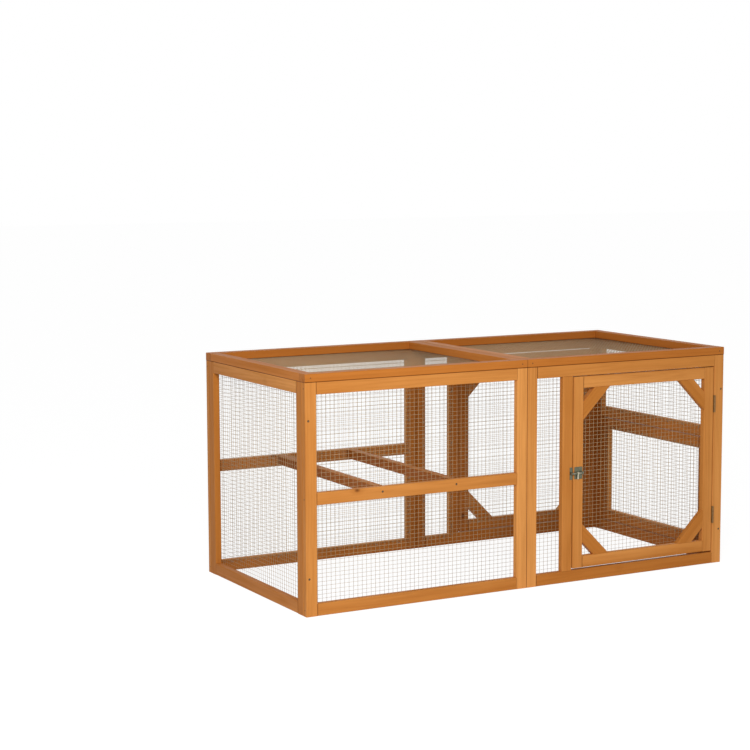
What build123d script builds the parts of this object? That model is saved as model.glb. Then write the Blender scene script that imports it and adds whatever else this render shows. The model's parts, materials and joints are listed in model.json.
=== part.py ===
from build123d import *
import os

# Chicken run: flat timber frames, backed with wire mesh, screwed into a box that has no floor.
# X runs along the run, Y from its front to its back and Z up. Sizes are in millimetres.
# The origin is at ground level, in the middle of everything that the run covers.

# Outside of the timber
run_length = 1500
run_depth = 690
run_height = 700

# Timber sections
timber_width = 36
timber_thickness = 20
roof_thickness = 24
edge_ease = 1.5

# Middle rails and perches of the left half
mid_rail_height = 340
perch_width = 24
perch_height = 30
perch_spacing = 250

# Doors
side_light_width = 94
end_rail_height = 420
door_gap = 4
front_door_rise = 1.5
hinge_gap = 3
brace_width = 40
brace_corner = 43

# Wire mesh, drawn at a coarse pitch
mesh_thickness = 1.5
mesh_lap = 14
mesh_bar = 2.4
mesh_pitch = 112

# Butt hinges, with their leaves in the gap beside the door
leaf_height = 54
leaf_depth = 16
leaf_thickness = 1.2
barrel_count = 3
barrel_gap = 0.3
knuckle_radius = 3.2
knuckle_clearance = 0.2
pin_radius = 1.6
pin_clearance = 0.05
wall_hinge_inset = 118
end_hinge_inset = 70

# Barrel bolts
plate_length = 29
plate_height = 38
plate_thickness = 1
keeper_length = 10
rod_radius = 3
rod_length = 46
rod_reach = 8
rod_height = 5.6
rod_clearance = 0.08
keeper_clearance = 0.4
strap_width = 5
strap_inset = 1
strap_thickness = 1.2
knob_offset = 17.5
collar_width = 4
collar_radius = 4.2
collar_clearance = 0.06
knob_neck_radius = 1.8
knob_neck_drop = 6.5
knob_end_radius = 2.8
knob_drop = 18

# Screws
screw_head_radius = 3.6
screw_head_height = 2.6
screw_shank_radius = 1.7
corner_screw_length = 45
seam_screw_length = 60
roof_screw_length = 50
corner_screw_inset = 110
roof_screw_inset = 60
screw_sides = 8

# Places that follow from the sizes above
hardware_reach = rod_height + rod_radius + rod_clearance + strap_thickness
left = -(run_length + hardware_reach) / 2
right = left + run_length
front = -run_depth / 2
frame_length = run_length / 2
frame_height = run_height - roof_thickness
end_frame_length = run_depth - 2 * timber_thickness
half_width = timber_width / 2
half_thickness = timber_thickness / 2
pin_offset = knuckle_radius + knuckle_clearance

# Each site is the outer face of a frame or a door, from its lower near corner: x along it, y up it
front_left = Plane(origin=(left, front, 0), x_dir=(1, 0, 0), z_dir=(0, -1, 0))
front_right = Plane(origin=(left + frame_length, front, 0), x_dir=(1, 0, 0), z_dir=(0, -1, 0))
left_end = Plane(origin=(left, -front - timber_thickness, 0), x_dir=(0, -1, 0), z_dir=(-1, 0, 0))
right_end = Plane(origin=(right, front + timber_thickness, 0), x_dir=(0, 1, 0), z_dir=(1, 0, 0))
roof_left = Plane(origin=(left, front, run_height), x_dir=(1, 0, 0), z_dir=(0, 0, 1))
roof_right = Plane(origin=(left + frame_length, front, run_height), x_dir=(1, 0, 0), z_dir=(0, 0, 1))

# Front door, measured along the front right frame
jamb_x = timber_width + side_light_width + half_width
doorway_low = timber_width
doorway_high = frame_height - timber_width
front_door_x = jamb_x + half_width + door_gap
front_door_width = frame_length - timber_width - hinge_gap - front_door_x
front_door_height = doorway_high - doorway_low - 2 * door_gap

# End door, measured along the right end frame
end_door_x = timber_width + door_gap
end_door_width = end_frame_length - timber_width - hinge_gap - end_door_x
end_door_height = end_rail_height - half_width - doorway_low - 2 * door_gap

# Shapes shared by the frames and doors


def point(site, x, y, z=0.0):
    """The place that lies x along the site, y up it and z out of it."""
    return site.from_local_coords(Vector(x, y, z))


def moved(site, x, y):
    """The same site with its corner moved x along it and y up it."""
    return Plane(origin=point(site, x, y), x_dir=site.x_dir, z_dir=site.z_dir)


def timber(plane, length, width, thickness):
    """A planed timber, its eased section centred on the plane and drawn out along its grain."""
    with BuildSketch(plane) as section:
        Rectangle(width, thickness)
        chamfer(section.vertices(), length=edge_ease)
    extrude(section.sketch, amount=length)


def upright(site, x, low, high, thickness=timber_thickness):
    """A timber that runs up the site with its middle at x, flush with the site."""
    foot = Plane(origin=point(site, x, low, -thickness / 2), x_dir=site.x_dir, z_dir=site.y_dir)
    timber(foot, high - low, timber_width, thickness)


def rail(site, y, low, high, thickness=timber_thickness):
    """A timber that runs along the site with its middle at height y, flush with the site."""
    end = Plane(origin=point(site, low, y, -thickness / 2), x_dir=site.y_dir, z_dir=site.x_dir)
    timber(end, high - low, timber_width, thickness)


def net(site, x_low, x_high, y_low, y_high, depth=timber_thickness):
    """A sheet of mesh behind an opening, lapped onto the inner faces of the timbers round it."""
    width = x_high - x_low + 2 * mesh_lap
    height = y_high - y_low + 2 * mesh_lap
    middle = point(site, (x_low + x_high) / 2, (y_low + y_high) / 2, -depth)
    across = max(1, round(width / mesh_pitch))
    up = max(1, round(height / mesh_pitch))
    step_x = (width - mesh_bar) / across
    step_y = (height - mesh_bar) / up
    with BuildSketch(Plane(origin=middle, x_dir=site.x_dir, z_dir=-site.z_dir)) as sheet:
        Rectangle(width, height)
        with GridLocations(step_x, step_y, across, up):
            Rectangle(step_x - mesh_bar, step_y - mesh_bar, mode=Mode.SUBTRACT)
    extrude(sheet.sketch, amount=mesh_thickness)


def brace(site, x, y, toward_x, toward_y):
    """A brace across the corner at x, y, mitred to the rail and the stile that meet there."""
    near = brace_corner
    far = brace_corner + brace_width * 2**0.5
    with BuildSketch(moved(site, x, y)) as face:
        Polygon(
            (toward_x * near, 0),
            (toward_x * far, 0),
            (0, toward_y * far),
            (0, toward_y * near),
            align=None,
        )
    extrude(face.sketch, amount=-timber_thickness)


def runs_slanted(edge, site):
    """Whether the edge runs at a slant across the site, and not along x, up y or out of it."""
    along = edge.tangent_at(0)
    square = 0.01
    return abs(along.dot(site.x_dir)) > square and abs(along.dot(site.y_dir)) > square


# Butt hinges: the site is the door's, and x is the middle of the gap at its hinge side


def hinge_foot(site, x, y):
    """The level of a hinge's lower end: x towards the frame and y into the gap, from the pin."""
    place = point(site, x, y - leaf_height / 2, pin_offset)
    return Plane(origin=place, x_dir=site.x_dir, z_dir=site.y_dir)


def hinge_leaf(site, x, y, side, barrels):
    """One leaf with its barrels, on the frame's side of the gap (1) or the door's (-1)."""
    foot = hinge_foot(site, x, y)
    barrel_pitch = leaf_height / barrel_count
    leaf_x = side * (hinge_gap - leaf_thickness) / 2
    notch = pin_offset + barrel_gap
    with BuildSketch(foot) as leaf:
        with Locations((leaf_x, (notch + pin_offset + leaf_depth) / 2)):
            Rectangle(leaf_thickness, pin_offset + leaf_depth - notch)
    extrude(leaf.sketch, amount=leaf_height)
    for number in barrels:
        with BuildSketch(foot.offset(number * barrel_pitch + barrel_gap / 2)) as barrel:
            Circle(knuckle_radius)
            with Locations((leaf_x, notch / 2)):
                Rectangle(leaf_thickness, notch)
            Circle(pin_radius + pin_clearance, mode=Mode.SUBTRACT)
        extrude(barrel.sketch, amount=barrel_pitch - barrel_gap)


def hinge_pin(site, x, y):
    """A pin through all barrels, level with the hinge's ends."""
    with BuildSketch(hinge_foot(site, x, y)) as shank:
        Circle(pin_radius)
    extrude(shank.sketch, amount=leaf_height)


# Barrel bolts: the site's corner is on the frame's edge, beside the door's latch side


def rod_section(site, x):
    """The plane across a bolt's rod at x, centred on the rod: x up and y outwards."""
    return Plane(origin=point(site, x, 0, rod_height), x_dir=site.y_dir, z_dir=site.x_dir)


def strap(site, x, width, bore_radius):
    """A pressed strap that arches over the rod and stands on the timber through its plate."""
    outer_radius = rod_radius + rod_clearance + strap_thickness
    with BuildSketch(rod_section(site, x)) as arch:
        Circle(outer_radius)
        with Locations((0, -rod_height / 2)):
            Rectangle(2 * outer_radius, rod_height)
        Circle(bore_radius, mode=Mode.SUBTRACT)
        with Locations((0, -rod_height / 2)):
            Rectangle(2 * bore_radius, rod_height, mode=Mode.SUBTRACT)
    extrude(arch.sketch, amount=width)


def bolt_plate(site):
    """The plate on the door's stile, with its two straps."""
    middle = door_gap + half_width
    with BuildSketch(moved(site, middle, 0)) as plate_face:
        Rectangle(plate_length, plate_height)
    extrude(plate_face.sketch, amount=plate_thickness)
    near_strap = middle - plate_length / 2 + strap_inset
    far_strap = middle + plate_length / 2 - strap_inset - strap_width
    for x in (near_strap, far_strap):
        strap(site, x, strap_width, rod_radius + rod_clearance)


def bolt_keeper(site):
    """The keeper on the jamb: a narrow plate with one wider arch."""
    with BuildSketch(moved(site, -keeper_length / 2, 0)) as keeper_face:
        Rectangle(keeper_length, plate_height)
    extrude(keeper_face.sketch, amount=plate_thickness)
    strap(site, -(keeper_length + strap_width) / 2, strap_width, rod_radius + keeper_clearance)


def bolt_rod(site):
    """The round rod, shot into its keeper."""
    with BuildSketch(rod_section(site, -rod_reach)) as rod_end:
        Circle(rod_radius)
    extrude(rod_end.sketch, amount=rod_length)


def bolt_knob(site):
    """The turned-down knob: a collar round the rod, its flat neck and a handle that swells."""
    near_end = rod_section(site, knob_offset - collar_width / 2)
    with BuildSketch(near_end) as collar:
        Circle(collar_radius)
        with Locations((-knob_neck_drop / 2, 0)):
            Rectangle(knob_neck_drop, 2 * knob_neck_radius)
        Circle(rod_radius + collar_clearance, mode=Mode.SUBTRACT)
    extrude(collar.sketch, amount=collar_width)
    neck_end = point(site, knob_offset, -knob_neck_drop, rod_height)
    neck = Plane(origin=neck_end, x_dir=site.x_dir, z_dir=-site.y_dir)
    with BuildSketch(neck) as neck_section:
        Circle(knob_neck_radius)
    with BuildSketch(neck.offset(knob_drop - knob_neck_drop)) as end_section:
        Circle(knob_end_radius)
    loft([neck_section.sketch, end_section.sketch], ruled=True)


def screw(head, direction, length):
    """A countersunk screw, its head flush at the head point, that bites along direction."""
    face = Plane(origin=head, z_dir=direction)
    with BuildSketch(face) as head_end:
        RegularPolygon(screw_head_radius, screw_sides)
    with BuildSketch(face.offset(screw_head_height)) as shank_end:
        RegularPolygon(screw_shank_radius, screw_sides)
    loft([head_end.sketch, shank_end.sketch], ruled=True)
    extrude(shank_end.sketch, amount=length - screw_head_height)


# Writing the sub-parts


def finish(piece, name):
    """Label one sub-part and write it."""
    piece.part.label = name
    export_step(piece.part, f"parts/{name}.step")


def finish_pair(piece, name, drop=0.0):
    """Write a sub-part of the front, and its mirror image, dropped by drop, as that of the back."""
    finish(piece, f"front_{name}")
    with BuildPart() as mirrored:
        mirror(piece.part.moved(Location((0, 0, -drop))), about=Plane.XZ)
    finish(mirrored, f"back_{name}")


os.makedirs("parts", exist_ok=True)

# Left half of the front and back: a frame with a middle rail
with BuildPart() as left_stiles:
    upright(front_left, half_width, 0, frame_height)
    upright(front_left, frame_length - half_width, 0, frame_height)
finish_pair(left_stiles, "left_stiles")

with BuildPart() as left_rails:
    for y in (half_width, mid_rail_height, frame_height - half_width):
        rail(front_left, y, timber_width, frame_length - timber_width)
finish_pair(left_rails, "left_rails")

with BuildPart() as left_mesh:
    net(front_left, timber_width, frame_length - timber_width, doorway_low, doorway_high)
finish_pair(left_mesh, "left_mesh")

# Right half of the front and back: a frame with a jamb, a narrow light and a doorway
with BuildPart() as right_stiles:
    upright(front_right, half_width, 0, frame_height)
    upright(front_right, jamb_x, doorway_low, doorway_high)
    upright(front_right, frame_length - half_width, 0, frame_height)
finish_pair(right_stiles, "right_stiles")

with BuildPart() as right_rails:
    for y in (half_width, frame_height - half_width):
        rail(front_right, y, timber_width, frame_length - timber_width)
finish_pair(right_rails, "right_rails")

with BuildPart() as right_mesh:
    net(front_right, timber_width, timber_width + side_light_width, doorway_low, doorway_high)
finish_pair(right_mesh, "right_mesh")

# End frames, which stand between the front and the back
with BuildPart() as left_end_stiles:
    upright(left_end, half_width, 0, frame_height)
    upright(left_end, end_frame_length - half_width, 0, frame_height)
finish(left_end_stiles, "left_end_stiles")

with BuildPart() as left_end_rails:
    for y in (half_width, frame_height - half_width):
        rail(left_end, y, timber_width, end_frame_length - timber_width)
finish(left_end_rails, "left_end_rails")

with BuildPart() as left_end_mesh:
    net(left_end, timber_width, end_frame_length - timber_width, doorway_low, doorway_high)
finish(left_end_mesh, "left_end_mesh")

with BuildPart() as right_end_stiles:
    upright(right_end, half_width, 0, frame_height)
    upright(right_end, end_frame_length - half_width, 0, frame_height)
finish(right_end_stiles, "right_end_stiles")

with BuildPart() as right_end_rails:
    for y in (half_width, end_rail_height, frame_height - half_width):
        rail(right_end, y, timber_width, end_frame_length - timber_width)
finish(right_end_rails, "right_end_rails")

with BuildPart() as right_end_mesh:
    upper_low = end_rail_height + half_width
    net(right_end, timber_width, end_frame_length - timber_width, upper_low, doorway_high)
finish(right_end_mesh, "right_end_mesh")

# Perches, level with the top of the middle rails and butted against the mesh behind them
perch_top = mid_rail_height + half_width
perch_places = [left + perch_spacing, left + 2 * perch_spacing]
perch_start = front + timber_thickness + mesh_thickness
with BuildPart() as perches:
    for x in perch_places:
        start = Plane(
            origin=(x, perch_start, perch_top - perch_height / 2),
            x_dir=(1, 0, 0),
            z_dir=(0, 1, 0),
        )
        timber(start, -2 * perch_start, perch_width, perch_height)
finish(perches, "perches")

# Roof frames, one over each half: the cross rails stand between the long rails
for site, half in ((roof_left, "roof_left"), (roof_right, "roof_right")):
    with BuildPart() as long_rails:
        for y in (half_width, run_depth - half_width):
            rail(site, y, 0, frame_length, roof_thickness)
    finish(long_rails, f"{half}_long_rails")

    with BuildPart() as cross_rails:
        for x in (half_width, frame_length - half_width):
            upright(site, x, timber_width, run_depth - timber_width, roof_thickness)
    finish(cross_rails, f"{half}_cross_rails")

    with BuildPart() as roof_mesh:
        x_high = frame_length - timber_width
        y_high = run_depth - timber_width
        net(site, timber_width, x_high, timber_width, y_high, roof_thickness)
    finish(roof_mesh, f"{half}_mesh")

# Front and back doors, hinged at the outer ends of the run, the back one hung a little lower
front_door = moved(front_right, front_door_x, doorway_low + door_gap + front_door_rise)
brace_x = (timber_width, front_door_width - timber_width)
brace_y = (timber_width, front_door_height - timber_width)

with BuildPart() as door_stiles:
    upright(front_door, half_width, 0, front_door_height)
    upright(front_door, front_door_width - half_width, 0, front_door_height)
finish_pair(door_stiles, "door_stiles", front_door_rise)

with BuildPart() as door_rails:
    for y in (half_width, front_door_height - half_width):
        rail(front_door, y, brace_x[0], brace_x[1])
finish_pair(door_rails, "door_rails", front_door_rise)

with BuildPart() as door_braces:
    for x, toward_x in zip(brace_x, (1, -1)):
        for y, toward_y in zip(brace_y, (1, -1)):
            brace(front_door, x, y, toward_x, toward_y)
    slanted = door_braces.edges().filter_by(lambda edge: runs_slanted(edge, front_door))
    chamfer(slanted, length=edge_ease)
finish_pair(door_braces, "door_braces", front_door_rise)

with BuildPart() as door_mesh:
    net(front_door, brace_x[0], brace_x[1], brace_y[0], brace_y[1])
finish_pair(door_mesh, "door_mesh", front_door_rise)

# End door, low in the right end, hinged at the back and bolted at the front
end_door = moved(right_end, end_door_x, doorway_low + door_gap)

with BuildPart() as end_door_stiles:
    upright(end_door, half_width, 0, end_door_height)
    upright(end_door, end_door_width - half_width, 0, end_door_height)
finish(end_door_stiles, "end_door_stiles")

with BuildPart() as end_door_rails:
    for y in (half_width, end_door_height - half_width):
        rail(end_door, y, timber_width, end_door_width - timber_width)
finish(end_door_rails, "end_door_rails")

with BuildPart() as end_door_mesh:
    x_high = end_door_width - timber_width
    y_high = end_door_height - timber_width
    net(end_door, timber_width, x_high, timber_width, y_high)
finish(end_door_mesh, "end_door_mesh")

# Hinges: the frame's leaves hold the odd barrels and the door's leaves the even ones
frame_barrels = range(0, barrel_count, 2)
door_barrels = range(1, barrel_count, 2)
front_hinge_x = front_door_width + hinge_gap / 2
front_hinge_heights = (wall_hinge_inset, front_door_height - wall_hinge_inset)
end_hinge_x = end_door_width + hinge_gap / 2
end_hinge_heights = (end_hinge_inset, end_door_height - end_hinge_inset)

with BuildPart() as frame_leaves:
    for y in front_hinge_heights:
        hinge_leaf(front_door, front_hinge_x, y, 1, frame_barrels)
finish_pair(frame_leaves, "frame_hinge_leaves", front_door_rise)

with BuildPart() as door_leaves:
    for y in front_hinge_heights:
        hinge_leaf(front_door, front_hinge_x, y, -1, door_barrels)
finish_pair(door_leaves, "door_hinge_leaves", front_door_rise)

with BuildPart() as pins:
    for y in front_hinge_heights:
        hinge_pin(front_door, front_hinge_x, y)
finish_pair(pins, "hinge_pins", front_door_rise)

with BuildPart() as end_frame_leaves:
    for y in end_hinge_heights:
        hinge_leaf(end_door, end_hinge_x, y, 1, frame_barrels)
finish(end_frame_leaves, "end_frame_hinge_leaves")

with BuildPart() as end_door_leaves:
    for y in end_hinge_heights:
        hinge_leaf(end_door, end_hinge_x, y, -1, door_barrels)
finish(end_door_leaves, "end_door_hinge_leaves")

with BuildPart() as end_pins:
    for y in end_hinge_heights:
        hinge_pin(end_door, end_hinge_x, y)
finish(end_pins, "end_hinge_pins")

# Barrel bolts, half way up each door
front_latch = moved(front_door, -door_gap, front_door_height / 2)
end_latch = moved(end_door, -door_gap, end_door_height / 2)

with BuildPart() as plate:
    bolt_plate(front_latch)
finish_pair(plate, "bolt_plate", front_door_rise)

with BuildPart() as keeper:
    bolt_keeper(front_latch)
finish_pair(keeper, "bolt_keeper", front_door_rise)

with BuildPart() as rod:
    bolt_rod(front_latch)
finish_pair(rod, "bolt_rod", front_door_rise)

with BuildPart() as knob:
    bolt_knob(front_latch)
finish_pair(knob, "bolt_knob", front_door_rise)

with BuildPart() as end_plate:
    bolt_plate(end_latch)
finish(end_plate, "end_bolt_plate")

with BuildPart() as end_keeper:
    bolt_keeper(end_latch)
finish(end_keeper, "end_bolt_keeper")

with BuildPart() as end_rod:
    bolt_rod(end_latch)
finish(end_rod, "end_bolt_rod")

with BuildPart() as end_knob:
    bolt_knob(end_latch)
finish(end_knob, "end_bolt_knob")

# Screws in the walls: through the outer stiles into the end frames, through the middle rails
# into the perches, and through both stiles at the seam between the halves
screw_heights = (corner_screw_inset, frame_height - corner_screw_inset)
perch_centre = perch_top - perch_height / 2
seam_x = left + frame_length + timber_width
with BuildPart() as wall_screws:
    for side in (-1, 1):
        face_y = -side * front
        for z in screw_heights:
            for x in (left + half_thickness, right - half_thickness):
                screw((x, face_y, z), (0, -side, 0), corner_screw_length)
            seam_y = face_y - side * half_thickness
            screw((seam_x, seam_y, z), (-1, 0, 0), seam_screw_length)
        for x in perch_places:
            screw((x, face_y, perch_centre), (0, -side, 0), corner_screw_length)
finish(wall_screws, "wall_screws")

# Screws down through the roof frames into the top rails of the walls
with BuildPart() as roof_screws:
    for start_x in (left, left + frame_length):
        for x in (start_x + roof_screw_inset, start_x + frame_length - roof_screw_inset):
            for y in (front + half_thickness, -front - half_thickness):
                screw((x, y, run_height), (0, 0, -1), roof_screw_length)
finish(roof_screws, "roof_screws")
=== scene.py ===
import json
import math
import random

import bmesh
import bpy
from bpy.props import FloatProperty, FloatVectorProperty, PointerProperty
from mathutils import Matrix, Vector

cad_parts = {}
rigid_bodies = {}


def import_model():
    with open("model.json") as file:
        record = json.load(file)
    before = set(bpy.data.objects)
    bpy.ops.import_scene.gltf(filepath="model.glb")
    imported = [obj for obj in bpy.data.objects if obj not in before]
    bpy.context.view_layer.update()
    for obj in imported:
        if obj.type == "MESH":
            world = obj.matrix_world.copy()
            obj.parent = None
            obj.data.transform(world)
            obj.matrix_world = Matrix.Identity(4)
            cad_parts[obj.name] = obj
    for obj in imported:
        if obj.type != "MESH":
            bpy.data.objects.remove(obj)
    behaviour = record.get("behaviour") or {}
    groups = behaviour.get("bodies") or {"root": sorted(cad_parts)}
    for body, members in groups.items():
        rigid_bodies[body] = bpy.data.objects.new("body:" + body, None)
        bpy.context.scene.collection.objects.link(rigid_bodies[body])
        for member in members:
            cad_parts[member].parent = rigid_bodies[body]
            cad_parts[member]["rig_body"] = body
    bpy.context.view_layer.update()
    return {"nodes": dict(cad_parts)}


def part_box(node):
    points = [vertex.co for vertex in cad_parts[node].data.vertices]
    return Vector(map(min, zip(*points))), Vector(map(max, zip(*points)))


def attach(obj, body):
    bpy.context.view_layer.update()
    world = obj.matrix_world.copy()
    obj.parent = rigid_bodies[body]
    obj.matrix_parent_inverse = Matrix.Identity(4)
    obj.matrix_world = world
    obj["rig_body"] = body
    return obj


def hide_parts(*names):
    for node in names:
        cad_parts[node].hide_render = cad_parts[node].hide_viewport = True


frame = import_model()

bl_info = {
    "name": "Chicken Run Finish",
    "version": (1, 0, 0),
    "blender": (4, 5, 0),
    "location": "View3D > Sidebar > Chicken Run",
    "description": "Welded mesh, nails, screws, staples and stained timber for a chicken run",
    "category": "Object",
}

MM = 0.001
X = Vector((1, 0, 0))
Y = Vector((0, 1, 0))
Z = Vector((0, 0, 1))
STILES_LOW, STILES_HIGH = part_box("front_left_stiles")

# The frames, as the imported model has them
TIMBER = STILES_HIGH.y - STILES_LOW.y
FRONT = STILES_LOW.y
BACK = -FRONT
LEFT = STILES_LOW.x
SEAM = STILES_HIGH.x
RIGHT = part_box("front_right_stiles")[1].x
WALL_TOP = STILES_HIGH.z
ROOF_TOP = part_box("roof_left_long_rails")[1].z
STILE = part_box("front_left_rails")[0].x - LEFT

# Half the widths of the dark lines in the joints, which are painted shade and dirt
SEAM_SHADE_AND_DIRT = 1.7 * MM
ROOF_SHADE_AND_DIRT = 1.5 * MM
BUTT_SHADE_AND_DIRT = 1.2 * MM

# The cosine of the braces' slant
DIAGONAL = 0.7071

# Wires: the sides of each, how many radii the level ones lie behind the timbers, how many millimetres
# all of them stray, and the seed of that
WIRE_SIDES = 6
LEVEL_WIRES = 2.4
WIRE_STRAY = 0.25
WIRE_SEED = 11

# Staples: how far they lie inside the net's rim, the strip that they are bent from, how far they stray,
# as a share of their spacing, how far they slant, in radians, and the seed of both
STAPLE_RIM = 6 * MM
STAPLE_THICK = 0.7 * MM
STAPLE_WIDE = 1.1 * MM
STAPLE_STRAY = 0.12
STAPLE_SLANT = 0.5
STAPLE_SEED = 23

# Screws: from the ends of the CAD screws' box to their rows, half a perch's width, from a roof frame's
# ends, their lengths, and the head and the shank under it
SCREW_ROW = 3.6 * MM
PERCH_MIDDLE = 12 * MM
ROOF_SCREW_INSET = 60 * MM
CORNER_SCREW = 45 * MM
SEAM_SCREW = 60 * MM
ROOF_SCREW = 50 * MM
SCREW_HEAD_DEPTH = 3 * MM
SCREW_HEAD_SIDES = 16
SHANK_TOP = 3.1 * MM
SHANK = 1.7 * MM
SHANK_TIP = 0.4 * MM
SHANK_SIDES = 8

# Nails: half a stile's width, the height of the middle rail, how far a brace's slanted edge reaches from
# its corner, where the nails lie on that edge, and their depth
STILE_MIDDLE = 18 * MM
MID_RAIL = 340 * MM
BRACE_REACH = (43 + 40 * 2**0.5) * MM
BRACE_SHARES = (0.16, 0.84)
NAIL_DEPTH = 2 * MM
NAIL_SIDES = 10

# Bolt plates: their thickness, how far their screws lie from their edges, and how those are spun
PLATE = 1 * MM
FIXING_INSET = 4.5 * MM
FIXING_STEPS = 14

# Studio: the floor, how much of its paper glows where the camera looks, and how brightly
FLOOR_SIZE = 30
PAPER_SHARE = 0.8
PAPER_GLOW = 1.15

# Light and camera
KEY_PLACE = Vector((-1.95, -3.12, 1.9))
KEY_AIM = Vector((-0.1, -0.2, 0.3))
KEY_SIZE = 1.3
KEY_POWER = 84
DOME_LIGHT = 0.42
DOME_SEEN = 1.0
VIEW_PLACE = (-3.10124, -5.0247, 1.3089)
VIEW_ANGLES = (28.793, 6.664, -0.194)
VIEW_LENS = 89.80

# Each mesh node: the way out through its timbers, and the way that its wires stand
NETS = {
    "front_left_mesh": (-Y, Z),
    "front_right_mesh": (-Y, Z),
    "front_door_mesh": (-Y, Z),
    "back_left_mesh": (Y, Z),
    "back_right_mesh": (Y, Z),
    "back_door_mesh": (Y, Z),
    "left_end_mesh": (-X, Z),
    "right_end_mesh": (X, Z),
    "end_door_mesh": (X, Z),
    "roof_left_mesh": (Z, X),
    "roof_right_mesh": (Z, X),
}

# Each timber node: the way of its grain, the way to the inside of the run, whose faces get painted
# shade, and its stain
TIMBERS = {
    "front_left_stiles": ("Z", Y, "wall"),
    "front_left_rails": ("X", Y, "wall"),
    "front_right_stiles": ("Z", Y, "wall"),
    "front_right_rails": ("X", Y, "wall"),
    "front_door_stiles": ("Z", Y, "wall"),
    "front_door_rails": ("X", Y, "wall"),
    "front_door_braces": ("slant", Y, "wall"),
    "back_left_stiles": ("Z", -Y, "wall"),
    "back_left_rails": ("X", -Y, "wall"),
    "back_right_stiles": ("Z", -Y, "wall"),
    "back_right_rails": ("X", -Y, "wall"),
    "back_door_stiles": ("Z", -Y, "wall"),
    "back_door_rails": ("X", -Y, "wall"),
    "back_door_braces": ("slant", -Y, "wall"),
    "left_end_stiles": ("Z", X, "wall"),
    "left_end_rails": ("Y", X, "wall"),
    "right_end_stiles": ("Z", -X, "wall"),
    "right_end_rails": ("Y", -X, "wall"),
    "end_door_stiles": ("Z", -X, "wall"),
    "end_door_rails": ("Y", -X, "wall"),
    "roof_left_long_rails": ("X", -Z, "roof"),
    "roof_left_cross_rails": ("Y", -Z, "roof"),
    "roof_right_long_rails": ("X", -Z, "roof"),
    "roof_right_cross_rails": ("Y", -Z, "roof"),
    "perches": ("Y", None, "perch"),
}

# How far the stain of a timber node leans to the deep tone, and how much more so per metre to the back,
# which is painted shade
USUAL_LEAN = (0.15, 0.0)
LEAN = {
    "front_left_stiles": (-0.3, 0.0),
    "front_left_rails": (0.2, 0.0),
    "front_right_stiles": (-0.1, 0.0),
    "front_right_rails": (0.3, 0.0),
    "front_door_stiles": (-0.25, 0.0),
    "front_door_rails": (0.2, 0.0),
    "left_end_stiles": (0.6, 2.2),
    "left_end_rails": (0.4, 0.6),
    "roof_left_cross_rails": (0.45, 0.0),
}


def shade(*screen):
    """A colour as it shows on a screen, from 0 to 255, in the linear values that Blender takes."""
    linear = []
    for value in screen:
        share = value / 255
        linear.append(share / 12.92 if value <= 10 else ((share + 0.055) / 1.055) ** 2.4)
    return linear


def length(name, description, default):
    """A length for the panel."""
    return FloatProperty(
        name=name,
        description=description,
        default=default,
        min=0,
        subtype="DISTANCE",
        unit="LENGTH",
        precision=5,
    )


def colour(name, description, *default):
    """A colour for the panel."""
    return FloatVectorProperty(
        name=name,
        description=description,
        default=shade(*default),
        min=0,
        max=1,
        size=3,
        subtype="COLOR",
    )


class RunSizes(bpy.types.PropertyGroup):
    """Sizes of the small pieces"""

    wire: length("Wire", "Thickness of the mesh wire", 0.84 * MM)
    across: length("Pitch across", "From one upright wire to the next", 14.6 * MM)
    up: length("Pitch up", "From one level wire to the next", 12.2 * MM)
    nail: length("Nail", "Radius of a nail's head", 2.1 * MM)
    head: length("Screw head", "Radius of a wall or roof screw's head", 3.4 * MM)
    fixing: length("Fixing", "Radius of the screw heads on plates", 2.3 * MM)
    proud: length("Proud", "How far nail and screw heads stand out of the timber", 0.12 * MM)
    staple: length("Staple", "Width of a staple", 9 * MM)
    staple_gap: length("Staple spacing", "From one staple to the next", 92 * MM)


class RunColours(bpy.types.PropertyGroup):
    """Colours of the stain, the painted shade and the metals"""

    wall_light: colour("Wall stain, light", "Stain between the grain lines", 228, 156, 83)
    wall_deep: colour("Wall stain, deep", "Stain on the darker boards", 192, 120, 50)
    roof_light: colour("Roof stain, light", "Stain between the grain lines", 206, 128, 54)
    roof_deep: colour("Roof stain, deep", "Stain on the darker boards", 172, 98, 34)
    grain: colour("Grain", "Late wood under the stain", 158, 88, 28)
    knot: colour("Knot", "Knots and end grain", 92, 44, 16)
    perch_light: colour("Perch stain, light", "Stain between the grain lines", 204, 130, 60)
    perch_deep: colour("Perch stain, deep", "Stain on the darker boards", 176, 104, 42)
    # Painted shade, multiplied over the faces that look into the run and over the perches' sides
    inside: colour("Inside", "Tint of the faces that look into the run", 212, 192, 160)
    wire: colour("Wire", "Galvanised wire", 182, 157, 119)
    brass: colour("Brass", "Hinge leaves and pins", 132, 100, 56)
    zinc: colour("Zinc", "Bolt plates and keepers", 112, 113, 93)
    bright: colour("Bright zinc", "Knobs", 214, 208, 186)
    nail: colour("Nail", "Nail and screw heads", 54, 34, 20)
    floor: colour("Floor", "Studio floor", 238, 238, 238)


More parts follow.
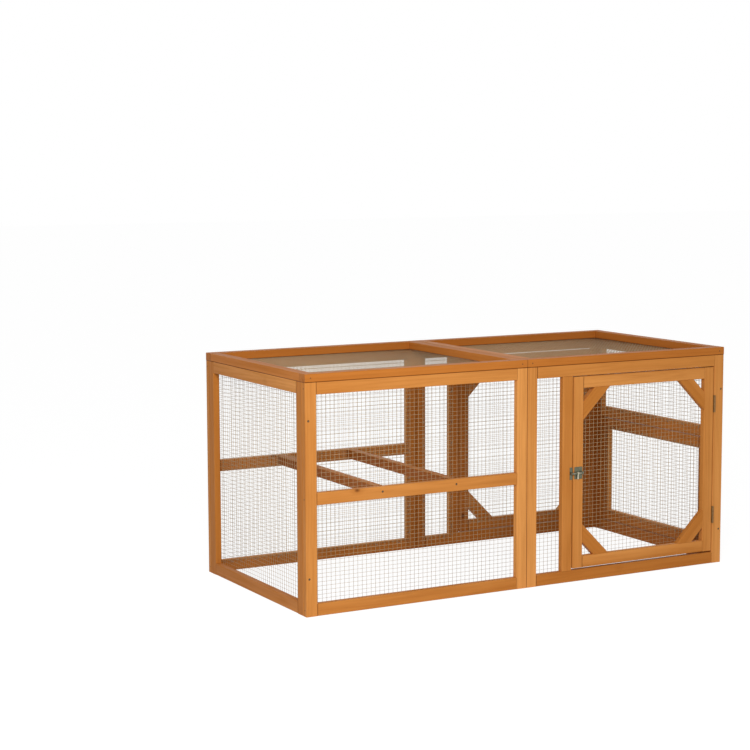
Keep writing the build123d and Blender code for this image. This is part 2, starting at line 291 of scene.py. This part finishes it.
class Varying:
    """A number that changes over a surface. Sums and products of it add Math nodes."""

    def __init__(self, paint, socket):
        self.paint = paint
        self.socket = socket

    def math(self, operation, *values, clamp=False):
        names = dict(enumerate(values))
        node = self.paint.add("ShaderNodeMath", {"operation": operation, "use_clamp": clamp}, names)
        return Varying(self.paint, node.outputs[0])

    def __add__(self, other):
        return self.math("ADD", self, other)

    def __radd__(self, other):
        return self.math("ADD", other, self)

    def __sub__(self, other):
        return self.math("SUBTRACT", self, other)

    def __rsub__(self, other):
        return self.math("SUBTRACT", other, self)

    def __mul__(self, other):
        return self.math("MULTIPLY", self, other)

    def __rmul__(self, other):
        return self.math("MULTIPLY", other, self)

    def __pow__(self, other):
        return self.math("POWER", self, other)

    def __abs__(self):
        return self.math("ABSOLUTE", self)

    def sine(self):
        return self.math("SINE", self)

    def sign(self):
        return self.math("SIGN", self)

    def above(self, limit, width):
        """0 below the limit and 1 above it, with a soft step of that width."""
        return self.math("DIVIDE", self - (limit - width / 2), width, clamp=True)


class Paint:
    """One material, whose nodes come from add() and from the sums of Varying."""

    def __init__(self, name):
        self.material = bpy.data.materials.new(name)
        self.material.use_nodes = True
        self.tree = self.material.node_tree
        self.tree.nodes.clear()

    def add(self, kind, settings=None, values=None):
        node = self.tree.nodes.new(kind)
        for name, value in (settings or {}).items():
            setattr(node, name, value)
        for name, value in (values or {}).items():
            socket = node.inputs[name]
            if isinstance(value, Varying):
                value = value.socket
            if isinstance(value, bpy.types.NodeSocket):
                self.tree.links.new(value, socket)
            elif socket.type == "RGBA":
                socket.default_value = [*value, 1.0][:4]
            else:
                socket.default_value = value
        return node

    def number(self, node, output=0):
        return Varying(self, node.outputs[output])

    def place(self):
        """The three object coordinates of the surface."""
        spot = self.add("ShaderNodeTexCoord").outputs["Object"]
        parts = self.add("ShaderNodeSeparateXYZ", None, {0: spot})
        return [Varying(self, socket) for socket in parts.outputs]

    def vector(self, a, b, c):
        return self.add("ShaderNodeCombineXYZ", None, {0: a, 1: b, 2: c}).outputs[0]

    def noise(self, vector, detail=1.0, roughness=0.5, distortion=0.0):
        values = {"Vector": vector, "Scale": 1.0, "Detail": detail}
        values.update({"Roughness": roughness, "Distortion": distortion})
        return self.number(self.add("ShaderNodeTexNoise", None, values))

    def mix(self, a, b, factor, blend="MIX"):
        settings = {"data_type": "RGBA", "blend_type": blend, "clamp_factor": True}
        return self.add("ShaderNodeMix", settings, {0: factor, 6: a, 7: b}).outputs[2]

    def faces(self, way):
        """How far the surface faces that way, from -1 to 1."""
        normal = self.add("ShaderNodeTexCoord").outputs["Normal"]
        node = self.add("ShaderNodeVectorMath", {"operation": "DOT_PRODUCT"}, {0: normal, 1: way})
        return self.number(node, "Value")

    def surface(self, values, height=None, distance=0.0002, strength=0.5):
        """The shader and the output, with a bump where a height is given."""
        if height is not None:
            lift = {"Height": height, "Distance": distance, "Strength": strength}
            values = {**values, "Normal": self.add("ShaderNodeBump", None, lift).outputs[0]}
        shader = self.add("ShaderNodeBsdfPrincipled", None, values)
        self.add("ShaderNodeOutputMaterial", None, {"Surface": shader.outputs[0]})
        return self.material


def along_grain(x, y, z, grain, centre):
    """The surface's coordinates: two across the grain and one along it."""
    if grain == "X":
        return y, z, x
    if grain == "Y":
        return x, z, y
    if grain == "Z":
        return x, y, z
    # The braces of a door slant one way in two corners and the other way in the other two
    u = x - centre.x
    w = z - centre.z
    turn = (u * w).sign()
    return (u + turn * w) * DIAGONAL, y, (u - turn * w) * DIAGONAL


def grain_way(grain):
    return {"X": X, "Y": Y, "Z": Z}.get(grain)


def band(value, plane, half):
    """1 at the plane and 0 from that distance on."""
    return 1.0 - abs(value - plane).above(half * 0.6, half * 0.8)


def stained_timber(node, grain, inward, light, deep, colours):
    """Softwood with a satin stain, its grain along the timber, painted shade on the faces inside and
    dark lines of painted shade and dirt in its joints.
    """
    paint = Paint(f"stained_{node}")
    low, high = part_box(node)
    x, y, z = paint.place()
    a, b, c = along_grain(x, y, z, grain, (low + high) / 2)
    # From board to board, the rings of the sawn wood, the streaks between them and the fibres
    board = paint.noise(paint.vector(a * 8, b * 8, c * 0.5), detail=0.0)
    swirl = paint.noise(paint.vector(a * 20, b * 20, c * 0.8), detail=1.4, roughness=0.4, distortion=0.1)
    rings = ((swirl * 64).sine() * 0.5 + 0.5) ** 2.2
    streak = paint.noise(paint.vector(a * 120, b * 120, c * 3.5), detail=2.0, roughness=0.6)
    fibre = paint.noise(paint.vector(a * 700, b * 700, c * 22), detail=2.0, roughness=0.65)
    cloud = paint.noise(paint.vector(a * 14, b * 14, c * 6), detail=2.0)
    lean, shade_to_back = LEAN.get(node, USUAL_LEAN)
    # The stain deepening per metre toward the back is painted shade
    body = paint.mix(light, deep, (board - 0.5) * 2.4 + (cloud - 0.5) * 0.4 + y * shade_to_back + (0.4 + lean))
    # The grain darkens the stain
    lines = rings * 0.13 + (streak - 0.42) * 0.7 + (fibre - 0.5) * 0.4
    body = paint.mix(body, colours.grain, lines)
    # Knots, with darker wood round them
    cell = {"Vector": paint.vector(a * 6.5, b * 6.5, c * 4.2), "Scale": 1.0}
    knots = paint.add("ShaderNodeTexVoronoi", None, cell)
    knot = 1.0 - paint.number(knots, "Distance").above(0.034, 0.03)
    halo = 1.0 - paint.number(knots, "Distance").above(0.07, 0.09)
    body = paint.mix(body, colours.grain, halo * 0.4)
    body = paint.mix(body, colours.knot, knot * 0.75)
    # Dark lines of painted shade and dirt in the joints, and darker end grain
    joints = band(x, SEAM, SEAM_SHADE_AND_DIRT) + band(z, WALL_TOP, ROOF_SHADE_AND_DIRT)
    way = grain_way(grain)
    if way:
        body = paint.mix(body, colours.knot, abs(paint.faces(way)).above(0.8, 0.2) * 0.15)
    if way and "stiles" not in node and "long" not in node:
        joints = joints + band(c, low.dot(way), BUTT_SHADE_AND_DIRT) + band(c, high.dot(way), BUTT_SHADE_AND_DIRT)
    body = paint.mix(body, colours.knot, joints * (streak * 0.5 + 0.5))
    # Painted shade on the faces that look into the run. On the perches, those are all but the tops
    if inward is None:
        shaded = 1.0 - paint.faces(Z).above(0.6, 0.3)
    else:
        shaded = paint.faces(inward).above(0.6, 0.3)
    body = paint.mix(body, colours.inside, shaded, "MULTIPLY")
    rough = 0.46 + (streak - 0.5) * 0.25 + rings * 0.08
    height = fibre * 0.6 + rings * 0.4
    values = {"Base Color": body, "Roughness": rough, "Specular IOR Level": 0.09}
    return paint.surface(values, height, 0.00025, 0.55)


def worn_metal(name, tone, dark, rough, spread, metallic=0.75):
    """Plated steel: cloudy plating, fine scratches and a duller tone where it has greyed."""
    paint = Paint(name)
    x, y, z = paint.place()
    cloud = paint.noise(paint.vector(x * 160, y * 160, z * 160), detail=3.0, roughness=0.6)
    scratch = paint.noise(paint.vector(x * 900, y * 900, z * 4200), detail=2.0)
    body = paint.mix(tone, dark, (cloud - 0.42) * 2.2)
    roughness = (cloud - 0.5) * spread + (scratch - 0.5) * 0.12 + rough
    values = {"Base Color": body, "Metallic": metallic, "Roughness": roughness}
    return paint.surface(values, scratch, 0.00004, 0.4)


def wire_finish(name, tone):
    """Galvanised wire: dull, with a faint spangle and darker spots."""
    paint = Paint(name)
    x, y, z = paint.place()
    spangle = paint.noise(paint.vector(x * 420, y * 420, z * 420), detail=2.0)
    patch = paint.noise(paint.vector(x * 18, y * 18, z * 18), detail=2.0)
    dark = [v * 0.55 for v in tone]
    body = paint.mix(tone, dark, (spangle - 0.45) * 1.5 + (patch - 0.5) * 0.8)
    return paint.surface({"Base Color": body, "Metallic": 0.2, "Roughness": (spangle - 0.5) * 0.4 + 0.5})


def stage_finish(name, tone):
    """Pale studio paper that the camera sees as nearly white, with the object's soft shadow on it."""
    paint = Paint(name)
    x, y, z = paint.place()
    mottle = paint.noise(paint.vector(x * 3, y * 3, z * 3), detail=3.0)
    body = paint.mix(tone, [v * 0.97 for v in tone], mottle)
    paper = paint.add("ShaderNodeBsdfDiffuse", None, {"Color": body})
    glow = paint.add("ShaderNodeEmission", None, {"Color": (1, 1, 1), "Strength": PAPER_GLOW})
    ray = paint.add("ShaderNodeLightPath")
    seen = paint.number(ray, "Is Camera Ray") + paint.number(ray, "Is Glossy Ray")
    seen = seen + paint.number(ray, "Is Transmission Ray")
    shaders = {0: seen * PAPER_SHARE, 1: paper.outputs[0], 2: glow.outputs[0]}
    joined = paint.add("ShaderNodeMixShader", None, shaders)
    paint.add("ShaderNodeOutputMaterial", None, {"Surface": joined.outputs[0]})
    return paint.material


def finish_piece(shape, name, body, material, smooth=None):
    """Make a mesh object of the shape, on its body and in its finish."""
    bmesh.ops.recalc_face_normals(shape, faces=shape.faces)
    mesh = bpy.data.meshes.new(name)
    shape.to_mesh(mesh)
    shape.free()
    piece = bpy.data.objects.new(name, mesh)
    bpy.context.scene.collection.objects.link(piece)
    mesh.materials.append(material)
    if smooth is not None:
        for face in mesh.polygons:
            face.use_smooth = smooth
    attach(piece, body)
    return piece


def standing(place, way):
    """A matrix that stands a shape made along Z at the place, along the way."""
    turn = way.to_track_quat("Z", "Y").to_matrix().to_4x4()
    return Matrix.Translation(place) @ turn


def rod(shape, start, end, radius, sides, tip=None):
    """A straight round piece from start to end, tapered where a tip radius is given."""
    way = end - start
    bmesh.ops.create_cone(
        shape,
        cap_ends=True,
        segments=sides,
        radius1=radius,
        radius2=radius if tip is None else tip,
        depth=way.length,
        matrix=standing((start + end) / 2, way),
    )


def block(shape, centre, along, up, size):
    """A small block with its length along one way and its height along another."""
    side = up.cross(along)
    turn = Matrix((along, side, up)).transposed().to_4x4()
    scale = Matrix.Diagonal((*size, 1))
    bmesh.ops.create_cube(shape, size=1, matrix=Matrix.Translation(centre) @ turn @ scale)


def screw_head(shape, place, way, radius, proud):
    """A countersunk head whose rim lies at the face, with a dished middle."""
    made = bmesh.ops.create_circle(
        shape,
        cap_ends=True,
        segments=SCREW_HEAD_SIDES,
        radius=radius,
        matrix=standing(place + way * proud, way),
    )
    top = [f for f in shape.faces if all(v in made["verts"] for v in f.verts)]
    bmesh.ops.inset_region(shape, faces=top, thickness=radius * 0.3, depth=0)
    bmesh.ops.inset_region(shape, faces=top, thickness=radius * 0.12, depth=-proud * 0.8)
    rim = [e for e in shape.edges if e.is_boundary and all(v in made["verts"] for v in e.verts)]
    skirt = bmesh.ops.extrude_edge_only(shape, edges=rim)["geom"]
    low = [v for v in skirt if isinstance(v, bmesh.types.BMVert)]
    bmesh.ops.translate(shape, verts=low, vec=-way * SCREW_HEAD_DEPTH)
    edges = [e for e in skirt if isinstance(e, bmesh.types.BMEdge)]
    bmesh.ops.contextual_create(shape, geom=[e for e in edges if e.is_boundary])


def net_sides(name):
    """A net's corners, its way out, its way up, its way across and the face that its timbers are on."""
    low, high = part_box(name)
    out, up = NETS[name]
    across = Y if abs(out.x) > 0.5 or up.x > 0.5 else X
    seat = max(low.dot(out), high.dot(out))
    return low, high, out, up, across, seat


def spread(first, last, pitch, rng):
    """Where the wires of a net lie, each a little off its even place."""
    count = int((last - first) / pitch)
    start = first + (last - first - (count - 1) * pitch) / 2
    return [start + i * pitch + rng.uniform(-WIRE_STRAY, WIRE_STRAY) * MM for i in range(count)]


class CHICKENRUN_OT_meshes(bpy.types.Operator):
    """Weld the wire mesh of every frame and door"""

    bl_idname = "chickenrun.meshes"
    bl_label = "Wire meshes"

    def execute(self, context):
        sizes = context.scene.run_sizes
        finish = wire_finish("galvanised_wire", list(context.scene.run_colours.wire))
        rng = random.Random(WIRE_SEED)
        radius = sizes.wire / 2
        for name in NETS:
            low, high, out, up, across, seat = net_sides(name)
            a0, a1 = low.dot(across), high.dot(across)
            b0, b1 = low.dot(up), high.dot(up)
            shape = bmesh.new()
            behind = out * (seat - radius)
            for a in spread(a0, a1, sizes.across, rng):
                foot = behind + across * a
                rod(shape, foot + up * b0, foot + up * b1, radius, WIRE_SIDES)
            behind = out * (seat - radius * LEVEL_WIRES)
            for b in spread(b0, b1, sizes.up, rng):
                side = behind + up * b
                rod(shape, side + across * a0, side + across * a1, radius, WIRE_SIDES)
            body = frame["nodes"][name]["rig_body"]
            wire = name.replace("_mesh", "_wire")
            piece = finish_piece(shape, wire, body, finish, True)
            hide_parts(name)
        return {"FINISHED"}


class CHICKENRUN_OT_staples(bpy.types.Operator):
    """Drive staples over the rim of every mesh"""

    bl_idname = "chickenrun.staples"
    bl_label = "Staples"

    def execute(self, context):
        sizes = context.scene.run_sizes
        finish = worn_metal("staple_steel", shade(150, 148, 142), shade(96, 90, 80), 0.45, 0.3)
        rng = random.Random(STAPLE_SEED)
        shapes = {}
        for name in NETS:
            body = frame["nodes"][name]["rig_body"]
            if body not in shapes:
                shapes[body] = bmesh.new()
            low, high, out, up, across, seat = net_sides(name)
            for way, other in ((across, up), (up, across)):
                first, last = low.dot(way), high.dot(way)
                count = max(2, round((last - first) / sizes.staple_gap))
                for rim in (low.dot(other) + STAPLE_RIM, high.dot(other) - STAPLE_RIM):
                    for i in range(count):
                        stray = rng.uniform(-STAPLE_STRAY, STAPLE_STRAY)
                        at = first + (i + 0.5 + stray) * (last - first) / count
                        place = out * seat + way * at + other * rim
                        self.staple(shapes[body], place, way, other, out, rng, sizes)
        for body, shape in shapes.items():
            finish_piece(shape, f"{body}_staples", body, finish)
        return {"FINISHED"}

    def staple(self, shape, place, way, other, out, rng, sizes):
        """A bar over the wires, with a leg at each end that goes into the timber."""
        slant = rng.uniform(-STAPLE_SLANT, STAPLE_SLANT)
        along = (way * math.cos(slant) + other * math.sin(slant)).normalized()
        reach = 2.2 * sizes.wire
        block(shape, place - out * reach, along, out, (sizes.staple, STAPLE_WIDE, STAPLE_THICK))
        for end in (-1, 1):
            foot = place + along * end * (sizes.staple - STAPLE_THICK) / 2 - out * (reach / 2 - 0.5 * MM)
            block(shape, foot, along, out, (STAPLE_THICK, STAPLE_WIDE, reach + 1 * MM))


class CHICKENRUN_OT_screws(bpy.types.Operator):
    """Set the screws that hold the frames, the perches and the roof"""

    bl_idname = "chickenrun.screws"
    bl_label = "Screws"

    def execute(self, context):
        sizes = context.scene.run_sizes
        dark = list(context.scene.run_colours.nail)
        finish = worn_metal("screw_steel", shade(96, 74, 50), dark, 0.5, 0.3, 0.4)
        low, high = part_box("wall_screws")
        rows = (low.z + SCREW_ROW, high.z - SCREW_ROW)
        perch_low, perch_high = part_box("perches")
        middle = (perch_low.z + perch_high.z) / 2
        walls = bmesh.new()
        for side, face in ((-1, FRONT), (1, BACK)):
            spots = [(x, z) for x in (LEFT + TIMBER / 2, RIGHT - TIMBER / 2) for z in rows]
            spots += [(x, middle) for x in (perch_low.x + PERCH_MIDDLE, perch_high.x - PERCH_MIDDLE)]
            for x, z in spots:
                self.screw(walls, Vector((x, face, z)), Y * side, CORNER_SCREW, sizes)
            for z in rows:
                place = Vector((SEAM + STILE, face - side * TIMBER / 2, z))
                self.screw(walls, place, X, SEAM_SCREW, sizes)
        piece = finish_piece(walls, "wall_screw_heads", "run_frame", finish)
        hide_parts("wall_screws")
        roof = bmesh.new()
        for start in (LEFT, SEAM):
            for x in (start + ROOF_SCREW_INSET, start + (SEAM - LEFT) - ROOF_SCREW_INSET):
                for y in (FRONT + TIMBER / 2, BACK - TIMBER / 2):
                    self.screw(roof, Vector((x, y, ROOF_TOP)), Z, ROOF_SCREW, sizes)
        piece = finish_piece(roof, "roof_screw_heads", "run_frame", finish)
        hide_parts("roof_screws")
        return {"FINISHED"}

    def screw(self, shape, place, way, bite, sizes):
        screw_head(shape, place, way, sizes.head, sizes.proud)
        rod(shape, place - way * SHANK_TOP, place - way * bite, SHANK, SHANK_SIDES, SHANK_TIP)


class CHICKENRUN_OT_nails(bpy.types.Operator):
    """Drive the nails that hold the frames' corners and the doors' braces"""

    bl_idname = "chickenrun.nails"
    bl_label = "Nails"

    def execute(self, context):
        sizes = context.scene.run_sizes
        tone = list(context.scene.run_colours.nail)
        finish = worn_metal("nail_steel", tone, shade(34, 22, 14), 0.6, 0.3, 0.25)
        run = bmesh.new()
        for y in (FRONT + TIMBER / 2, BACK - TIMBER / 2):
            for z in (STILE_MIDDLE, MID_RAIL, WALL_TOP - STILE_MIDDLE):
                self.nail(run, Vector((LEFT, y, z)), -X, sizes)
            for z in (STILE_MIDDLE, WALL_TOP - STILE_MIDDLE):
                self.nail(run, Vector((RIGHT, y, z)), X, sizes)
        roof_z = (WALL_TOP + ROOF_TOP) / 2
        for side, face in ((-1, FRONT), (1, BACK)):
            for start, end in ((LEFT, SEAM), (SEAM, RIGHT)):
                for x in (start + STILE_MIDDLE, end - STILE_MIDDLE):
                    self.nail(run, Vector((x, face, roof_z)), Y * side, sizes)
        finish_piece(run, "frame_nails", "run_frame", finish)
        for side, y in (("front", FRONT + TIMBER / 2), ("back", BACK - TIMBER / 2)):
            nails = self.door_nails(side, y, sizes)
            finish_piece(nails, f"{side}_door_nails", f"{side}_door", finish)
        return {"FINISHED"}

    def door_nails(self, side, y, sizes):
        """Nails in the ends of a door's braces and in the edges of its stiles."""
        shape = bmesh.new()
        low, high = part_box(f"{side}_door_braces")
        for x, sx in ((low.x, 1), (high.x, -1)):
            for z, sz in ((low.z, 1), (high.z, -1)):
                way = Vector((sx, 0, sz)).normalized()
                for share in BRACE_SHARES:
                    across = x + sx * BRACE_REACH * share
                    up = z + sz * BRACE_REACH * (1 - share)
                    self.nail(shape, Vector((across, y, up)), way, sizes)
        low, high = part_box(f"{side}_door_stiles")
        for z in (low.z + STILE_MIDDLE, high.z - STILE_MIDDLE):
            self.nail(shape, Vector((low.x, y, z)), -X, sizes)
            self.nail(shape, Vector((high.x, y, z)), X, sizes)
        return shape

    def nail(self, shape, place, way, sizes):
        start = place - way * NAIL_DEPTH
        rod(shape, start, place + way * sizes.proud, sizes.nail, NAIL_SIDES, sizes.nail * 0.85)


class CHICKENRUN_OT_fixings(bpy.types.Operator):
    """Screw the bolt plates and keepers to the doors and jambs"""

    bl_idname = "chickenrun.fixings"
    bl_label = "Plate screws"

    def execute(self, context):
        sizes = context.scene.run_sizes
        finish = worn_metal("fixing_steel", shade(124, 122, 104), shade(80, 76, 62), 0.4, 0.25)
        for side, out, across in (("front", -Y, X), ("back", Y, X), ("end", X, Y)):
            plate_out = (RIGHT if side == "end" else BACK) + PLATE
            for node, columns in ((f"{side}_bolt_plate", 2), (f"{side}_bolt_keeper", 1)):
                low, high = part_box(node)
                shape = bmesh.new()
                a0, a1 = low.dot(across), high.dot(across)
                places = [a0 + FIXING_INSET, a1 - FIXING_INSET] if columns == 2 else [(a0 + a1) / 2]
                for a in places:
                    for z in (low.z + FIXING_INSET, high.z - FIXING_INSET):
                        self.fixing(shape, out * plate_out + across * a + Z * z, out, sizes)
                body = frame["nodes"][node]["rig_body"]
                finish_piece(shape, f"{node}_screws", body, finish, True)
        return {"FINISHED"}

    def fixing(self, shape, place, way, sizes):
        """A low pan head, spun from its profile, with a cross in it."""
        radius = sizes.fixing
        rise = radius * 0.42
        side = way.orthogonal().normalized()
        profile = [(radius, -0.3 * MM), (radius, rise * 0.35), (radius * 0.72, rise * 0.85), (0.0, rise)]
        verts = [shape.verts.new(place + side * r + way * h) for r, h in profile]
        edges = [shape.edges.new(pair) for pair in zip(verts, verts[1:])]
        bmesh.ops.spin(
            shape,
            geom=verts + edges,
            cent=place,
            axis=way,
            angle=math.tau,
            steps=FIXING_STEPS,
            use_merge=True,
        )
        bmesh.ops.remove_doubles(shape, verts=shape.verts, dist=1e-6)
        for turn in (side, side.cross(way)):
            slot = (radius * 1.1, 0.5 * MM, 0.2 * MM)
            block(shape, place + way * (rise - 0.05 * MM), turn, way, slot)


class CHICKENRUN_OT_timbers(bpy.types.Operator):
    """Stain the timbers, each with its grain along its length"""

    bl_idname = "chickenrun.timbers"
    bl_label = "Stained timbers"

    def execute(self, context):
        colours = context.scene.run_colours
        tones = {
            "wall": (colours.wall_light, colours.wall_deep),
            "roof": (colours.roof_light, colours.roof_deep),
            "perch": (colours.perch_light, colours.perch_deep),
        }
        for node, (grain, inward, stain) in TIMBERS.items():
            light, deep = (list(tone) for tone in tones[stain])
            dress(node, stained_timber(node, grain, inward, light, deep, colours))
        return {"FINISHED"}


class CHICKENRUN_OT_hardware(bpy.types.Operator):
    """Plate the hinges, plates, keepers, rods and knobs"""

    bl_idname = "chickenrun.hardware"
    bl_label = "Hardware"

    def execute(self, context):
        colours = context.scene.run_colours
        brass = worn_metal("dull_brass", list(colours.brass), shade(88, 62, 32), 0.45, 0.3, 0.45)
        zinc = worn_metal("passivated_zinc", list(colours.zinc), shade(96, 94, 74), 0.42, 0.3)
        steel = worn_metal("drawn_steel", shade(148, 144, 126), shade(96, 90, 74), 0.34, 0.2)
        bright = worn_metal("bright_zinc", list(colours.bright), shade(140, 134, 112), 0.28, 0.2)
        for side in ("front", "back", "end"):
            for node in ("frame_hinge_leaves", "door_hinge_leaves", "hinge_pins"):
                dress(f"{side}_{node}", brass)
            for node in ("bolt_plate", "bolt_keeper"):
                dress(f"{side}_{node}", zinc)
            dress(f"{side}_bolt_rod", steel)
            dress(f"{side}_bolt_knob", bright)
        return {"FINISHED"}


def dress(node, material):
    """Give a CAD node its finish."""
    thing = frame["nodes"][node]
    if not thing.material_slots:
        thing.data.materials.append(material)
    for slot in thing.material_slots:
        slot.material = material


class CHICKENRUN_OT_stage(bpy.types.Operator):
    """Lay the floor and set the lights and the camera"""

    bl_idname = "chickenrun.stage"
    bl_label = "Stage"

    def execute(self, context):
        scene = context.scene
        shape = bmesh.new()
        bmesh.ops.create_grid(shape, x_segments=1, y_segments=1, size=FLOOR_SIZE)
        floor_mesh = bpy.data.meshes.new("studio_floor")
        shape.to_mesh(floor_mesh)
        shape.free()
        floor = bpy.data.objects.new("studio_floor", floor_mesh)
        floor_mesh.materials.append(stage_finish("studio_paper", list(scene.run_colours.floor)))
        scene.collection.objects.link(floor)
        self.lights(scene)
        self.dome(scene)
        self.camera(scene)
        scene.view_settings.view_transform = "Standard"
        return {"FINISHED"}

    def lights(self, scene):
        """One soft lamp, up to the left of the front."""
        key = bpy.data.lights.new("key", "AREA")
        key.shape = "DISK"
        key.size = KEY_SIZE
        key.energy = KEY_POWER
        lamp = bpy.data.objects.new("key", key)
        lamp.matrix_world = standing(KEY_PLACE, KEY_PLACE - KEY_AIM)
        scene.collection.objects.link(lamp)

    def dome(self, scene):
        """Even light from all round, behind a background that looks white."""
        world = bpy.data.worlds.new("studio")
        scene.world = world
        world.use_nodes = True
        tree = world.node_tree
        tree.nodes.clear()
        mix = tree.nodes.new("ShaderNodeMixShader")
        for socket, strength in ((1, DOME_LIGHT), (2, DOME_SEEN)):
            light = tree.nodes.new("ShaderNodeBackground")
            light.inputs["Color"].default_value = (1, 1, 1, 1)
            light.inputs["Strength"].default_value = strength
            tree.links.new(light.outputs[0], mix.inputs[socket])
        ray = tree.nodes.new("ShaderNodeLightPath")
        seen = ray.outputs["Is Camera Ray"]
        for other in ("Is Glossy Ray", "Is Transmission Ray"):
            either = tree.nodes.new("ShaderNodeMath")
            either.operation = "MAXIMUM"
            tree.links.new(seen, either.inputs[0])
            tree.links.new(ray.outputs[other], either.inputs[1])
            seen = either.outputs[0]
        tree.links.new(seen, mix.inputs[0])
        out = tree.nodes.new("ShaderNodeOutputWorld")
        tree.links.new(mix.outputs[0], out.inputs[0])

    def camera(self, scene):
        """The photograph's view: a long lens, turned to the left front corner and a little down."""
        turn, tilt, roll = (math.radians(v) for v in VIEW_ANGLES)
        level = math.cos(tilt)
        forward = Vector((math.sin(turn) * level, math.cos(turn) * level, -math.sin(tilt)))
        right = Vector((math.cos(turn), -math.sin(turn), 0))
        up = right.cross(forward)
        side = right * math.cos(roll) + up * math.sin(roll)
        top = up * math.cos(roll) - right * math.sin(roll)
        data = bpy.data.cameras.new("photo_view")
        data.sensor_fit = "HORIZONTAL"
        data.sensor_width = 36
        data.lens = VIEW_LENS
        data.clip_end = 100
        view = bpy.data.objects.new("photo_view", data)
        facing = Matrix((side, top, -forward)).transposed().to_4x4()
        view.matrix_world = Matrix.Translation(VIEW_PLACE) @ facing
        scene.collection.objects.link(view)
        scene.camera = view


OPERATORS = (
    CHICKENRUN_OT_timbers,
    CHICKENRUN_OT_hardware,
    CHICKENRUN_OT_meshes,
    CHICKENRUN_OT_staples,
    CHICKENRUN_OT_screws,
    CHICKENRUN_OT_nails,
    CHICKENRUN_OT_fixings,
    CHICKENRUN_OT_stage,
)


class CHICKENRUN_PT_panel(bpy.types.Panel):
    """Lists the sizes, the colours and the pieces"""

    bl_idname = "CHICKENRUN_PT_panel"
    bl_label = "Chicken Run"
    bl_space_type = "VIEW_3D"
    bl_region_type = "UI"
    bl_category = "Chicken Run"

    def draw(self, context):
        for group in (context.scene.run_sizes, context.scene.run_colours):
            for name in group.__annotations__:
                self.layout.prop(group, name)
        for operator in OPERATORS:
            self.layout.operator(operator.bl_idname)


CLASSES = (RunSizes, RunColours, *OPERATORS, CHICKENRUN_PT_panel)


def register():
    for item in CLASSES:
        bpy.utils.register_class(item)
    bpy.types.Scene.run_sizes = PointerProperty(type=RunSizes)
    bpy.types.Scene.run_colours = PointerProperty(type=RunColours)


def unregister():
    del bpy.types.Scene.run_colours
    del bpy.types.Scene.run_sizes
    for item in reversed(CLASSES):
        bpy.utils.unregister_class(item)


def main():
    register()
    bpy.ops.chickenrun.timbers()
    bpy.ops.chickenrun.hardware()
    bpy.ops.chickenrun.meshes()
    bpy.ops.chickenrun.staples()
    bpy.ops.chickenrun.screws()
    bpy.ops.chickenrun.nails()
    bpy.ops.chickenrun.fixings()
    bpy.ops.chickenrun.stage()


if __name__ == "__main__":
    main()
